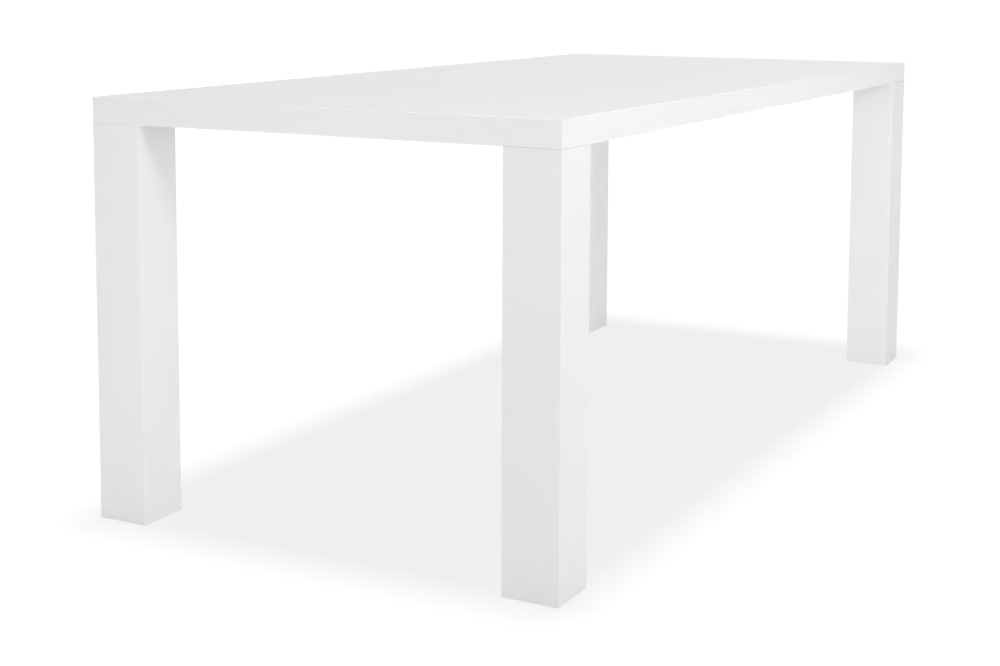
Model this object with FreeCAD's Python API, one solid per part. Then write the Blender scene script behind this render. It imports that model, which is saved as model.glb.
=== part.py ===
import FreeCAD, Part
import os
from math import ceil, sqrt

# A parsons dining table: a plain slab top on four square legs whose outer faces run flush with
# the slab's edges. The slab is a torsion box: two thin MDF skins glued to an MDF frame, with
# cross ribs, solid corner blocks and paper honeycomb between them. Each leg is a hollow column
# of four mitred boards round a head block and a foot block. A steel plate is screwed down on
# the leg's head, lies in a recess through the slab's lower skin, and is bolted up into threaded
# inserts in the slab. A round glide under each leg keeps it off the floor.
#
# Millimetres. +Z is up, +X runs along the table and +Y across it. The origin is on the floor
# under the middle of the top. The front is the long side at -Y.

# ---- Overall size
table_length = 1940.0
table_width = 905.0
table_height = 750.0

# ---- Slab top
skin_thickness = 4.0
core_height = 37.0
rail_width = 50.0            # the frame's strips, laid flat
slab_corner_radius = 2.0     # the slab's four upright edges
slab_arris_radius = 1.5      # the eased edges round its upper and lower faces
rib_count = 3
rib_thickness = 18.0
rib_housing = 8.0            # how deep a rib's end sits in a long rail
dowel_radius = 4.0
dowel_length = 40.0
dowel_end_gap = 1.0          # room for glue past each end of a dowel
block_margin = 16.0          # how far a corner block reaches past the steel plate

# ---- Paper honeycomb
cell_width = 50.0            # across the flats of one cell
paper_thickness = 0.8
honeycomb_clearance = 1.0    # round each panel's sides

# ---- Legs
leg_side = 100.0
leg_wall = 12.0
leg_corner_radius = 1.5      # the upright edges
leg_end_radius = 1.0         # the edges round the head and the foot
head_block_height = 90.0
foot_block_height = 24.0

# ---- Steel corner plates
plate_setback = 14.0         # from the leg's outer faces, so that no steel shows in the seam
flange_width = 54.0          # how far a plate reaches past the leg's inner faces
plate_corner_cut = 30.0      # the bevel at its inner corner
plate_corner_radius = 5.0
plate_clearance = 0.5        # between a plate and its recess

# ---- Bolts through the flange, M8
bolt_radius = 4.0
bolt_end_gap = 1.6           # from a bolt's tip to the far end of its insert
bolt_tip_chamfer = 0.8
bolt_head_radius = 7.0
bolt_head_height = 4.4
bolt_head_round = 2.4
bolt_socket_width = 5.0      # across the flats of the hexagon socket
bolt_socket_depth = 2.6
bolt_end_inset = 44.0        # from a plate's outer edge to its first bolt, so that no head shows
bolt_clearance = 0.5         # round the shank in the plate
washer_radius = 8.0
washer_thickness = 1.6
insert_radius = 7.5
insert_cover = 13.0          # wood left between an insert and the upper skin
thread_clearance = 0.1       # round the shank in the insert

# ---- Countersunk wood screws that hold a plate down on a leg
plate_screw_radius = 2.5
plate_screw_length = 60.0
plate_screw_head_radius = 5.0
plate_screw_offset = 18.0    # from the leg's axis, both ways

# ---- Glides
glide_radius = 18.0
glide_recess = 3.0           # how deep a glide sits in the foot block
glide_proud = 2.0            # how far it stands out below the leg
glide_clearance = 0.25
glide_edge_radius = 1.0
glide_screw_radius = 2.0
glide_screw_length = 20.0
glide_screw_head_radius = 4.0
glide_screw_depth = 1.0      # the head's top, inside the glide's lower face

# ---- Shared by both kinds of wood screw
screw_hole_clearance = 0.3   # round the shank in what the screw holds down
pilot_clearance = 0.05       # round the shank in the wood
pilot_end_gap = 2.0          # past the screw's point
screw_slot_width = 1.2       # the cross recess in the head
screw_slot_depth = 1.4

# ---- Worked out from the sizes above
top_thickness = 2 * skin_thickness + core_height
top_underside = table_height - top_thickness
core_low = top_underside + skin_thickness
core_high = core_low + core_height
dowel_offset = rail_width / 5                    # two dowels side by side in each joint
plate_thickness = skin_thickness                 # it fills the recess through the lower skin
plate_reach = leg_side + flange_width            # from the slab's corner to a plate's far edge
block_reach = plate_reach + block_margin
insert_length = core_height - insert_cover
bolt_length = washer_thickness + plate_thickness + insert_length - bolt_end_gap
glide_thickness = glide_recess + glide_proud
leg_low = glide_proud
leg_axis = leg_side / 2
cavity_side = leg_side - 2 * leg_wall
half_length = table_length / 2
half_width = table_width / 2

# Bolt places on a plate, from the slab's corner: along the middle of the flange's two arms.
bolt_line = leg_side + flange_width / 2
end_bolt = plate_setback + bolt_end_inset
middle_bolt = (end_bolt + bolt_line) / 2
bolt_places = [
    (bolt_line, end_bolt),
    (bolt_line, middle_bolt),
    (bolt_line, bolt_line),
    (middle_bolt, bolt_line),
    (end_bolt, bolt_line),
]
screw_sides = (leg_axis - plate_screw_offset, leg_axis + plate_screw_offset)
plate_screw_places = [(x, y) for x in screw_sides for y in screw_sides]

# Each corner's name, the quarter turns that bring the front left corner there, and its side.
CORNERS = {
    "front_left": (0, -1, -1),
    "front_right": (1, 1, -1),
    "back_right": (2, 1, 1),
    "back_left": (3, -1, 1),
}
# A leg's boards by the way they face, in quarter turns from the one that faces +X.
BOARDS = {"right": 0, "back": 1, "left": 2, "front": 3}

up = FreeCAD.Vector(0, 0, 1)
parts = {}


# ---- Small helpers

def block(x_low, x_high, y_low, y_high, z_low, z_high):
    """A box between two corners."""
    size = (x_high - x_low, y_high - y_low, z_high - z_low)
    return Part.makeBox(*size, FreeCAD.Vector(x_low, y_low, z_low))


def rod(radius, x, y, z_low, z_high):
    """An upright cylinder."""
    return Part.makeCylinder(radius, z_high - z_low, FreeCAD.Vector(x, y, z_low))


def prism(points, z_low, z_high):
    """A straight prism on a flat outline."""
    corners = [FreeCAD.Vector(x, y, z_low) for x, y in points]
    outline = Part.makePolygon(corners + corners[:1])
    return Part.Face(outline).extrude(up * (z_high - z_low))


def upright_edges(shape):
    """The edges that run along Z."""
    found = []
    for edge in shape.Edges:
        box = edge.BoundBox
        if box.XLength < 1e-6 and box.YLength < 1e-6:
            found.append(edge)
    return found


def level_edges(shape, heights):
    """The edges that lie flat at one of these heights."""
    found = []
    for edge in shape.Edges:
        box = edge.BoundBox
        flat = box.ZLength < 1e-6
        if flat and any(abs(box.ZMin - z) < 1e-6 for z in heights):
            found.append(edge)
    return found


def eased_box(x_low, x_high, y_low, y_high, z_low, z_high, corner_radius, end_radius):
    """A box with rounded upright edges and a smaller round along its upper and lower edges."""
    solid = block(x_low, x_high, y_low, y_high, z_low, z_high)
    solid = solid.makeFillet(corner_radius, upright_edges(solid))
    # The round along the ends has to fit inside the corner's own round.
    end_round = min(end_radius, 0.9 * corner_radius)
    return solid.makeFillet(end_round, level_edges(solid, (z_low, z_high)))


def turned(shape, quarters, x=0.0, y=0.0):
    """A copy turned by quarter turns about the upright line through x, y."""
    copy = shape.copy()
    copy.rotate(FreeCAD.Vector(x, y, 0), up, 90 * quarters)
    return copy


def at_corner(shape, corner):
    """A copy of a shape made at the slab's corner at the origin, put at one of its corners.

    Every such shape is the same on both sides of the diagonal, so that turning it is enough.
    """
    quarters, side_x, side_y = CORNERS[corner]
    copy = turned(shape, quarters)
    copy.translate(FreeCAD.Vector(side_x * half_length, side_y * half_width, 0))
    return copy


def at_all_corners(shapes):
    """Copies of these shapes at all four corners, as one group of separate solids."""
    return Part.makeCompound([at_corner(shape, corner) for corner in CORNERS for shape in shapes])


def cut(shape, *tools):
    """The shape without the tools' room."""
    return shape.cut(Part.makeCompound(tools))


# ---- Fasteners

def countersunk_screw(radius, length, head_radius, x, y, z_head, points_up):
    """A wood screw with a flush head and a cross recess, its head's flat face at z_head."""
    head_height = head_radius - radius
    way = 1 if points_up else -1
    axis = up * way
    start = FreeCAD.Vector(x, y, z_head)
    neck = start + axis * head_height
    head = Part.makeCone(head_radius, radius, head_height, start, axis)
    point_length = 2 * radius
    straight = length - head_height - point_length
    shank = Part.makeCylinder(radius, straight, neck, axis)
    point = Part.makeCone(radius, radius / 4, point_length, neck + axis * straight, axis)
    screw = head.fuse([shank, point])
    slot_reach = head_radius / 2
    half_slot = screw_slot_width / 2
    z_slot = z_head + way * screw_slot_depth
    z_low, z_high = min(z_head, z_slot), max(z_head, z_slot)
    slot_x = block(x - slot_reach, x + slot_reach, y - half_slot, y + half_slot, z_low, z_high)
    slot_y = block(x - half_slot, x + half_slot, y - slot_reach, y + slot_reach, z_low, z_high)
    return cut(screw, slot_x, slot_y)


def screw_seat(radius, head_radius, thickness, x, y, z_head, points_up):
    """The countersunk hole for such a screw through a piece of this thickness."""
    head_height = head_radius - radius
    axis = up if points_up else up * -1
    start = FreeCAD.Vector(x, y, z_head)
    cone = Part.makeCone(head_radius, radius, head_height, start, axis)
    hole = Part.makeCylinder(radius + screw_hole_clearance, thickness, start, axis)
    return cone.fuse(hole)


def hexagon(width, x, y, z_low, z_high):
    """A hexagonal prism, by its width across the flats."""
    half = width / 2
    reach = width / sqrt(3)
    points = [(reach, 0), (reach / 2, half), (-reach / 2, half)]
    points += [(-px, -py) for px, py in points]
    return prism([(x + px, y + py) for px, py in points], z_low, z_high)


def flange_bolt(x, y):
    """A button head bolt with a hexagon socket, put in from below."""
    seat = top_underside - washer_thickness
    head_low = seat - bolt_head_height
    head = rod(bolt_head_radius, x, y, head_low, seat)
    head_round = min(bolt_head_round, 0.9 * bolt_head_height)
    head = head.makeFillet(head_round, level_edges(head, (head_low,)))
    shank = rod(bolt_radius, x, y, seat, seat + bolt_length)
    shank = shank.makeChamfer(bolt_tip_chamfer, level_edges(shank, (seat + bolt_length,)))
    socket = hexagon(bolt_socket_width, x, y, head_low, head_low + bolt_socket_depth)
    return cut(head.fuse(shank), socket)


def flange_washer(x, y):
    """The flat washer under a bolt's head."""
    low = top_underside - washer_thickness
    disc = rod(washer_radius, x, y, low, top_underside)
    return cut(disc, rod(bolt_radius + bolt_clearance, x, y, low, top_underside))


def insert_room(x, y):
    """The hole that a threaded insert is driven into."""
    return rod(insert_radius, x, y, core_low, core_low + insert_length)


def threaded_insert(x, y):
    """A steel sleeve in the slab, flush with the core's lower face."""
    bore = rod(bolt_radius + thread_clearance, x, y, core_low, core_low + insert_length)
    return cut(insert_room(x, y), bore)


# ---- Slab top

def plate_outline(grow, z_low, z_high):
    """The corner plate's shape, or its recess if it grows by the clearance."""
    low = plate_setback - grow
    high = plate_reach + grow
    bevel = plate_corner_cut + grow * (2 - sqrt(2))
    points = [(low, low), (high, low), (high, high - bevel), (high - bevel, high), (low, high)]
    solid = prism(points, z_low, z_high)
    return solid.makeFillet(plate_corner_radius + grow, upright_edges(solid))


def whole_slab():
    """The slab's outer shape, which the skins and the rails are cut from."""
    return eased_box(
        -half_length, half_length, -half_width, half_width, top_underside, table_height,
        slab_corner_radius, slab_arris_radius,
    )


def slice_of(slab, z_low, z_high):
    """The layer of the slab between two heights."""
    return slab.common(block(-half_length, half_length, -half_width, half_width, z_low, z_high))


def make_skins(slab):
    """The upper skin is whole. The lower one is open over each corner plate."""
    parts["top_skin_upper"] = slice_of(slab, core_high, table_height)
    recess = plate_outline(plate_clearance, top_underside, core_low)
    recesses = [at_corner(recess, corner) for corner in CORNERS]
    parts["top_skin_lower"] = cut(slice_of(slab, top_underside, core_low), *recesses)


def make_ribs():
    """Cross ribs, housed in the long rails, that keep the skins flat. Returns their middles."""
    spacing = table_length / (rib_count + 1)
    middles = [-half_length + spacing * (i + 1) for i in range(rib_count)]
    reach = half_width - rail_width + rib_housing
    for number, middle in enumerate(middles, 1):
        low = middle - rib_thickness / 2
        parts[f"cross_rib_{number}"] = block(
            low, low + rib_thickness, -reach, reach, core_low, core_high
        )
    return middles


def dowels(length, radius):
    """Rods across the butt joints between the end rails and the long rails."""
    joint = half_width - rail_width
    middle_x = half_length - rail_width / 2
    height = core_low + core_height / 2
    found = []
    for side_x in (-1, 1):
        for side_y in (-1, 1):
            for step in (-1, 1):
                x = side_x * (middle_x + step * dowel_offset)
                start = FreeCAD.Vector(x, side_y * joint - length / 2, height)
                found.append(Part.makeCylinder(radius, length, start, FreeCAD.Vector(0, 1, 0)))
    return found


def make_frame(slab):
    """The rails, joined by dowels, and the solid blocks in their corners."""
    ring = slice_of(slab, core_low, core_high)
    inner_x = half_length - rail_width
    inner_y = half_width - rail_width
    room = block(-inner_x, inner_x, -inner_y, inner_y, core_low, core_high)
    ring = cut(ring, room)
    ribs = [shape for name, shape in parts.items() if name.startswith("cross_rib")]
    dowel_holes = dowels(dowel_length + 2 * dowel_end_gap, dowel_radius)
    insert_holes = [at_corner(insert_room(x, y), corner) for corner in CORNERS for x, y in bolt_places]
    ring = cut(ring, *ribs, *dowel_holes, *insert_holes)
    zones = {
        "edge_rail_front": (-half_length, half_length, -half_width, -inner_y),
        "edge_rail_back": (-half_length, half_length, inner_y, half_width),
        "edge_rail_left": (-half_length, -inner_x, -inner_y, inner_y),
        "edge_rail_right": (inner_x, half_length, -inner_y, inner_y),
    }
    for name, zone in zones.items():
        parts[name] = ring.common(block(*zone, core_low, core_high))
    parts["frame_dowels"] = Part.makeCompound(dowels(dowel_length, dowel_radius))
    corner_block = block(rail_width, block_reach, rail_width, block_reach, core_low, core_high)
    corner_block = cut(corner_block, *[insert_room(x, y) for x, y in bolt_places])
    for corner in CORNERS:
        parts[f"corner_block_{corner}"] = at_corner(corner_block, corner)


def trimmed(points, axis, limit, keep_above):
    """A convex outline cut off by the line where one coordinate is at its limit."""
    sign = 1 if keep_above else -1
    kept = []
    for start, end in zip(points, points[1:] + points[:1]):
        from_start = sign * (start[axis] - limit)
        from_end = sign * (end[axis] - limit)
        if from_start >= 0:
            kept.append(start)
        if (from_start > 0 > from_end) or (from_start < 0 < from_end):
            share = from_start / (from_start - from_end)
            kept.append(tuple(a + share * (b - a) for a, b in zip(start, end)))
    return kept


def honeycomb_cells(x_low, x_high, y_low, y_high):
    """The outlines of a panel's open cells, whole or cut off at the panel's sides.

    Cells stand in columns half a cell out of step, with flats that face +Y and -Y.
    """
    column_pitch = cell_width * sqrt(3) / 2
    half = (cell_width - paper_thickness) / 2
    reach = 2 * half / sqrt(3)
    corners = [(reach, 0), (reach / 2, half), (-reach / 2, half)]
    corners += [(-px, -py) for px, py in corners]
    columns = ceil((x_high - x_low) / 2 / column_pitch) + 1
    rows = ceil((y_high - y_low) / 2 / cell_width) + 1
    middle = ((x_low + x_high) / 2, (y_low + y_high) / 2)
    cells = []
    for column in range(-columns, columns + 1):
        for row in range(-rows, rows + 1):
            x = middle[0] + column * column_pitch
            y = middle[1] + (row + (column % 2) / 2) * cell_width
            cell = [(x + px, y + py) for px, py in corners]
            cell = trimmed(cell, 0, x_low + paper_thickness, True)
            cell = trimmed(cell, 0, x_high - paper_thickness, False)
            cell = trimmed(cell, 1, y_low + paper_thickness, True)
            cell = trimmed(cell, 1, y_high - paper_thickness, False)
            if is_open_enough(cell):
                cells.append(cell)
    return cells


def is_open_enough(cell):
    """False for an outline that is gone, or a sliver narrower than three walls."""
    if len(cell) < 3:
        return False
    spans = [max(p[axis] for p in cell) - min(p[axis] for p in cell) for axis in (0, 1)]
    return min(spans) > 3 * paper_thickness


def honeycomb_panel(x_low, x_high, y_low, y_high):
    """A panel of expanded paper cells, as high as the core, within the room between these limits."""
    x_low, y_low = x_low + honeycomb_clearance, y_low + honeycomb_clearance
    x_high, y_high = x_high - honeycomb_clearance, y_high - honeycomb_clearance
    outlines = [[(x_low, y_low), (x_high, y_low), (x_high, y_high), (x_low, y_high)]]
    # The cells are holes, so their outlines run the other way round.
    outlines += [cell[::-1] for cell in honeycomb_cells(x_low, x_high, y_low, y_high)]
    wires = []
    for outline in outlines:
        corners = [FreeCAD.Vector(x, y, core_low) for x, y in outline]
        wires.append(Part.makePolygon(corners + corners[:1]))
    return Part.Face(wires).extrude(up * core_height)


def make_honeycomb(rib_middles):
    """A panel in each bay between the ribs, and one between the corner blocks at each end."""
    inner_x = half_length - rail_width
    inner_y = half_width - rail_width
    block_x = half_length - block_reach
    block_y = half_width - block_reach
    half_rib = rib_thickness / 2
    lows = [-block_x] + [middle + half_rib for middle in rib_middles]
    highs = [middle - half_rib for middle in rib_middles] + [block_x]
    for number, (low, high) in enumerate(zip(lows, highs), 1):
        parts[f"honeycomb_bay_{number}"] = honeycomb_panel(low, high, -inner_y, inner_y)
    parts["honeycomb_end_left"] = honeycomb_panel(-inner_x, -block_x, -block_y, block_y)
    parts["honeycomb_end_right"] = honeycomb_panel(block_x, inner_x, -block_y, block_y)


# ---- Corner plates and what holds them

def plate_screw_seats():
    """The countersunk holes through a plate for the screws into its leg."""
    return [
        screw_seat(
            plate_screw_radius, plate_screw_head_radius, plate_thickness, x, y, core_low, False
        )
        for x, y in plate_screw_places
    ]


def make_plates():
    """The steel plates, their bolts, washers and inserts, and the screws into the legs."""
    plate = plate_outline(0, top_underside, core_low)
    bolt_holes = [
        rod(bolt_radius + bolt_clearance, x, y, top_underside, core_low) for x, y in bolt_places
    ]
    plate = cut(plate, *bolt_holes, *plate_screw_seats())
    for corner in CORNERS:
        parts[f"corner_plate_{corner}"] = at_corner(plate, corner)
    parts["plate_bolts"] = at_all_corners([flange_bolt(x, y) for x, y in bolt_places])
    parts["plate_washers"] = at_all_corners([flange_washer(x, y) for x, y in bolt_places])
    parts["threaded_inserts"] = at_all_corners([threaded_insert(x, y) for x, y in bolt_places])
    screws = [
        countersunk_screw(
            plate_screw_radius, plate_screw_length, plate_screw_head_radius, x, y, core_low, False
        )
        for x, y in plate_screw_places
    ]
    parts["leg_head_screws"] = at_all_corners(screws)


# ---- Legs

def glide_screw_seat():
    """The countersunk hole through a glide for its screw."""
    return screw_seat(
        glide_screw_radius, glide_screw_head_radius, glide_thickness - glide_screw_depth,
        leg_axis, leg_axis, glide_screw_depth, True,
    )


def leg_holes():
    """All that is sunk into a leg: the glide, its screw, and the plate's screws."""
    recess = rod(glide_radius + glide_clearance, leg_axis, leg_axis, leg_low, glide_thickness)
    glide_point = glide_screw_depth + glide_screw_length + pilot_end_gap
    glide_pilot = rod(
        glide_screw_radius + pilot_clearance, leg_axis, leg_axis, glide_thickness, glide_point
    )
    plate_point = core_low - plate_screw_length - pilot_end_gap
    plate_pilots = [
        rod(plate_screw_radius + pilot_clearance, x, y, plate_point, top_underside)
        for x, y in plate_screw_places
    ]
    return [recess, glide_screw_seat(), glide_pilot, *plate_screw_seats(), *plate_pilots]


def leg_board():
    """The board that faces +X: a quarter of the hollow column, between two mitres."""
    middle = leg_axis
    column = eased_box(
        0, leg_side, 0, leg_side, leg_low, top_underside, leg_corner_radius, leg_end_radius
    )
    low, high = leg_wall, leg_wall + cavity_side
    cavity = block(low, high, low, high, leg_low, top_underside)
    column = cut(cut(column, cavity), *leg_holes())
    far = 2 * leg_side
    quarter = [(middle, middle), (middle + far, middle - far), (middle + far, middle + far)]
    return column.common(prism(quarter, leg_low, top_underside))


def leg_block(z_low, z_high):
    """A solid block that fills the leg's hollow between two heights, drilled for what it holds."""
    low, high = leg_wall, leg_wall + cavity_side
    return cut(block(low, high, low, high, z_low, z_high), *leg_holes())


def glide():
    """A nylon disc on the floor, with a countersunk hole from below."""
    disc = rod(glide_radius, leg_axis, leg_axis, 0, glide_thickness)
    disc = disc.makeFillet(glide_edge_radius, level_edges(disc, (0,)))
    mouth = rod(glide_screw_head_radius, leg_axis, leg_axis, 0, glide_screw_depth)
    return cut(disc, mouth, glide_screw_seat())


def make_legs():
    """Four legs, each of four boards, two blocks and a glide."""
    board = leg_board()
    inner_parts = {
        "head_block": leg_block(top_underside - head_block_height, top_underside),
        "foot_block": leg_block(leg_low, leg_low + foot_block_height),
        "glide": glide(),
    }
    for corner, (_, side_x, side_y) in CORNERS.items():
        x = side_x * (half_length - leg_axis)
        y = side_y * (half_width - leg_axis)
        placed = board.copy()
        placed.translate(FreeCAD.Vector(x - leg_axis, y - leg_axis, 0))
        for side, quarters in BOARDS.items():
            parts[f"leg_{corner}_board_{side}"] = turned(placed, quarters, x, y)
        for name, shape in inner_parts.items():
            parts[f"leg_{corner}_{name}"] = at_corner(shape, corner)
    screw = countersunk_screw(
        glide_screw_radius, glide_screw_length, glide_screw_head_radius, leg_axis, leg_axis,
        glide_screw_depth, True,
    )
    parts["glide_screws"] = at_all_corners([screw])


def main():
    slab = whole_slab()
    make_skins(slab)
    rib_middles = make_ribs()
    make_frame(slab)
    make_honeycomb(rib_middles)
    make_plates()
    make_legs()
    os.makedirs("parts", exist_ok=True)
    for name, shape in parts.items():
        shape.exportStep(f"parts/{name}.step")
        print(f"{name}: {len(shape.Solids)} solid(s), {shape.Volume / 1000:.1f} cm3")


main()
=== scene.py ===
# %% [markdown]
# # A lacquered dining table with block legs
#
# The table is a flat slab on four square legs, and all of it is sprayed with a white gloss
# lacquer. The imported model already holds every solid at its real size: the skins, rails and ribs
# of the slab, the mitred boards of the legs, the steel plates, bolts, blocks and glides. What it
# does not hold is the finish. A spray shop fills and sands the joints and then lays one coat over
# skins and rails together, so the eye meets a single continuous film and no joint.
#
# This file adds that film as new surfaces, gives every other piece its own procedural finish,
# and sets up a pale studio. All lengths are metres, in the model's own frame.

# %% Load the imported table
import math

import bpy
import numpy as np
from mathutils import Matrix, Vector
from mathutils.geometry import tessellate_polygon


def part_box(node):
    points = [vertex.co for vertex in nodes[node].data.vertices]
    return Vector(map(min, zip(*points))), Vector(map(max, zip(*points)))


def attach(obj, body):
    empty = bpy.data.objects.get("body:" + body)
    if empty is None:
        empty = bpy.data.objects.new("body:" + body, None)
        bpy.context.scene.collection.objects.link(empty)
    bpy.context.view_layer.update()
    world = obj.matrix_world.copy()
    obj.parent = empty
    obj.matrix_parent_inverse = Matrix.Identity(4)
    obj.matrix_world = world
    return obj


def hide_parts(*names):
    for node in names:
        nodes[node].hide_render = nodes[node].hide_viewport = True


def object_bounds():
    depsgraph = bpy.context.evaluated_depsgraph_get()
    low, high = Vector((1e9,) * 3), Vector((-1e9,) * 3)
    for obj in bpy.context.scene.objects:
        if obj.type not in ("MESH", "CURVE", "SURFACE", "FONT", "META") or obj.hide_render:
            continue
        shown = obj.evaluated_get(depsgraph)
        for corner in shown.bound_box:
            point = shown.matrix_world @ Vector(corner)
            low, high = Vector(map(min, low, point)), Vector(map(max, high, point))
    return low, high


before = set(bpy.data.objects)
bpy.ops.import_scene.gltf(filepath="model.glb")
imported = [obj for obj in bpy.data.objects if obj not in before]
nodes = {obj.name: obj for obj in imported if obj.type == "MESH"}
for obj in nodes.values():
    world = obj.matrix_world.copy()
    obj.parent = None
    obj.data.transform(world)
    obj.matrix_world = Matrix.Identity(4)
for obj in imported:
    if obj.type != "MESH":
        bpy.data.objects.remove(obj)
cad_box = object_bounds()
scene = bpy.context.scene
print("nodes:", len(nodes), "box:", [[round(v, 4) for v in corner] for corner in cad_box])

# %% [markdown]
# ## Sizes that the finish follows
#
# A film has to lie exactly on the wood. So the large sizes are read from the solids, and only the
# small roundings, which a box cannot tell, are written here.

# %% Sizes of the slab and its edges
SLAB_CORNER_RADIUS = 0.002      # the slab's four upright corners
SLAB_ARRIS_RADIUS = 0.0015      # its long edges, above and below
HOLD_WIDTH = 0.0008             # flat band beside a rounding, so the flat stays flat in shading
DRY_BAND = 0.008                # the spray thins out over this much of the underside
ARC_STEPS = 8                   # facets in a quarter turn

low, high = (np.array(corner) for corner in cad_box)
slab_top = high[2]
slab_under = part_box("top_skin_lower")[0].z
core_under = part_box("top_skin_lower")[1].z
slab_length, slab_width = (high - low)[:2]
print(f"slab {slab_length:.3f} x {slab_width:.3f} m, {slab_top - slab_under:.3f} m thick")

# %% [markdown]
# ## Where the camera stands
#
# The camera stands low, just above the top and well outside its near corner, and the picture is
# taken with a long lens. To bring the table into the middle of the frame, the camera can be tilted
# down or its frame can be shifted down. A tilt makes the legs lean together, and a shift keeps them
# upright, but it goes with the camera to every other side. So it is shared: half tilt, half shift.

# %% Camera
CAMERA_PLACE = np.array([-3.2014, -1.5410, 0.9609])
CAMERA_YAW, CAMERA_PITCH, CAMERA_ROLL = 28.129, -6.0, 0.227        # degrees
LENS_LENGTH, SENSOR_WIDTH = 60.63, 36.0                            # millimetres
FRAME_SHIFT = -0.1801                                              # share of the frame's width
FRAME_WIDTH, FRAME_HEIGHT = 1000, 666                              # pixels


def camera_axes(yaw, pitch, roll):
    """Right, up and forward as unit vectors. Yaw turns from +X towards +Y, pitch lifts the view,
    and roll turns right and up about the view."""
    y, p, r = (math.radians(angle) for angle in (yaw, pitch, roll))
    forward = np.array([math.cos(p) * math.cos(y), math.cos(p) * math.sin(y), math.sin(p)])
    level = np.array([math.sin(y), -math.cos(y), 0.0])
    above = np.cross(level, forward)
    right = math.cos(r) * level + math.sin(r) * above
    up = math.cos(r) * above - math.sin(r) * level
    return right, up, forward


def seen_at(point):
    """The pixel where a point lands: its place along right and up, each divided by its depth."""
    offset = np.array(point) - CAMERA_PLACE
    across, upward, depth = (float(offset @ axis) for axis in (right, up, forward))
    scale = FRAME_WIDTH * LENS_LENGTH / SENSOR_WIDTH
    x = FRAME_WIDTH / 2 + scale * across / depth
    y = FRAME_HEIGHT / 2 + FRAME_WIDTH * FRAME_SHIFT - scale * upward / depth
    return round(x, 1), round(y, 1)


right, up, forward = camera_axes(CAMERA_YAW, CAMERA_PITCH, CAMERA_ROLL)
camera_data = bpy.data.cameras.new("studio_camera")
camera_data.lens = LENS_LENGTH
camera_data.sensor_width = SENSOR_WIDTH
camera_data.shift_y = FRAME_SHIFT
camera = bpy.data.objects.new("studio_camera", camera_data)
turn = Matrix(np.column_stack([right, up, -forward]).tolist()).to_4x4()
camera.matrix_world = Matrix.Translation(CAMERA_PLACE.tolist()) @ turn
scene.collection.objects.link(camera)
scene.camera = camera
print("near corner at", seen_at((low[0], low[1], slab_top)), "far corner at",
      seen_at((high[0], high[1], slab_top)))

# %% [markdown]
# ## A profile carried round an outline
#
# The slab and each leg are the same kind of shape: an upright prism with eased edges. Seen from
# above it has an outline with rounded corners, and seen in section it has a profile. Carrying the
# profile round the outline gives the surface. A cube with a bevel would be quicker, but then the
# corner radius and the edge radius could not differ, as they do on the real slab.
#
# Two numbers say where a point is: the station along the outline, and the ring of the profile. A
# ring is the outline drawn in by an inset and held at a height.

# %% Outline, profile and grid
SHARPEST = 0.0002               # smallest corner radius of an inner ring
SHARP_ANGLE = math.radians(35)  # an edge between faces that turn by more than this stays sharp


def outline_rings(corners, corner_radius, insets, heights):
    """A grid of points, rings by stations. For a corner P between sides with outward normals
    m and n, the arc's centre is P - (inset + radius) * (m + n) / (1 + m.n), and its points are
    centre + radius * (cos a, sin a), with a running from the angle of m to the angle of n.
    The corners run counter-clockwise seen from above."""
    corners = np.asarray(corners, float)
    side_after = np.roll(corners, -1, axis=0) - corners
    side_after /= np.linalg.norm(side_after, axis=1, keepdims=True)
    normal_after = np.column_stack([side_after[:, 1], -side_after[:, 0]])
    normal_before = np.roll(normal_after, 1, axis=0)
    cosine = (normal_before * normal_after).sum(axis=1)
    inward = (normal_before + normal_after) / (1 + cosine)[:, None]
    start = np.arctan2(normal_before[:, 1], normal_before[:, 0])
    angles = start[:, None] + np.arccos(cosine)[:, None] * np.linspace(0, 1, ARC_STEPS + 1)
    insets, heights = np.asarray(insets, float), np.asarray(heights, float)
    radii = np.maximum(corner_radius - insets, SHARPEST)
    centres = corners[None] - (insets + radii)[:, None, None] * inward[None]
    around = np.stack([np.cos(angles), np.sin(angles)], axis=-1)
    flat = centres[:, :, None, :] + radii[:, None, None, None] * around[None]
    flat = flat.reshape(len(insets), -1, 2)
    level = np.broadcast_to(heights[:, None, None], flat.shape[:2] + (1,))
    return np.concatenate([flat, level], axis=2)


def quarter(radius, inset, height, first, last):
    """Insets and heights along a circular arc about (inset, height). An angle of 0 points out of
    the side, and 90 degrees points up."""
    turn = np.radians(np.linspace(first, last, ARC_STEPS + 1))
    return inset - radius * np.cos(turn), height + radius * np.sin(turn)


def grid_faces(rings, stations, first=0, closed=False):
    """Quads between neighbouring rings and stations. The stations always close on themselves,
    and the rings do too where the profile is a loop."""
    ring = np.arange(rings if closed else rings - 1)[:, None]
    station = np.arange(stations)[None]
    next_ring, next_station = (ring + 1) % rings, (station + 1) % stations
    corners = [
        ring * stations + station, next_ring * stations + station,
        next_ring * stations + next_station, ring * stations + next_station,
    ]
    return (np.stack(corners, axis=-1).reshape(-1, 4) + first).tolist()


def new_piece(name, points, faces, masks=None):
    """A mesh object at the origin, smooth but for its sharp edges. Each mask is a number per
    point, kept as an attribute for the materials."""
    mesh = bpy.data.meshes.new(name)
    mesh.from_pydata(np.asarray(points).tolist(), [], faces)
    mesh.validate()
    for label, values in (masks or {}).items():
        attribute = mesh.attributes.new(label, "FLOAT", "POINT")
        attribute.data.foreach_set("value", np.asarray(values, np.float32))
    mesh.shade_smooth()
    mesh.set_sharp_from_angle(angle=SHARP_ANGLE)
    piece = bpy.data.objects.new(name, mesh)
    scene.collection.objects.link(piece)
    return piece


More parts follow.
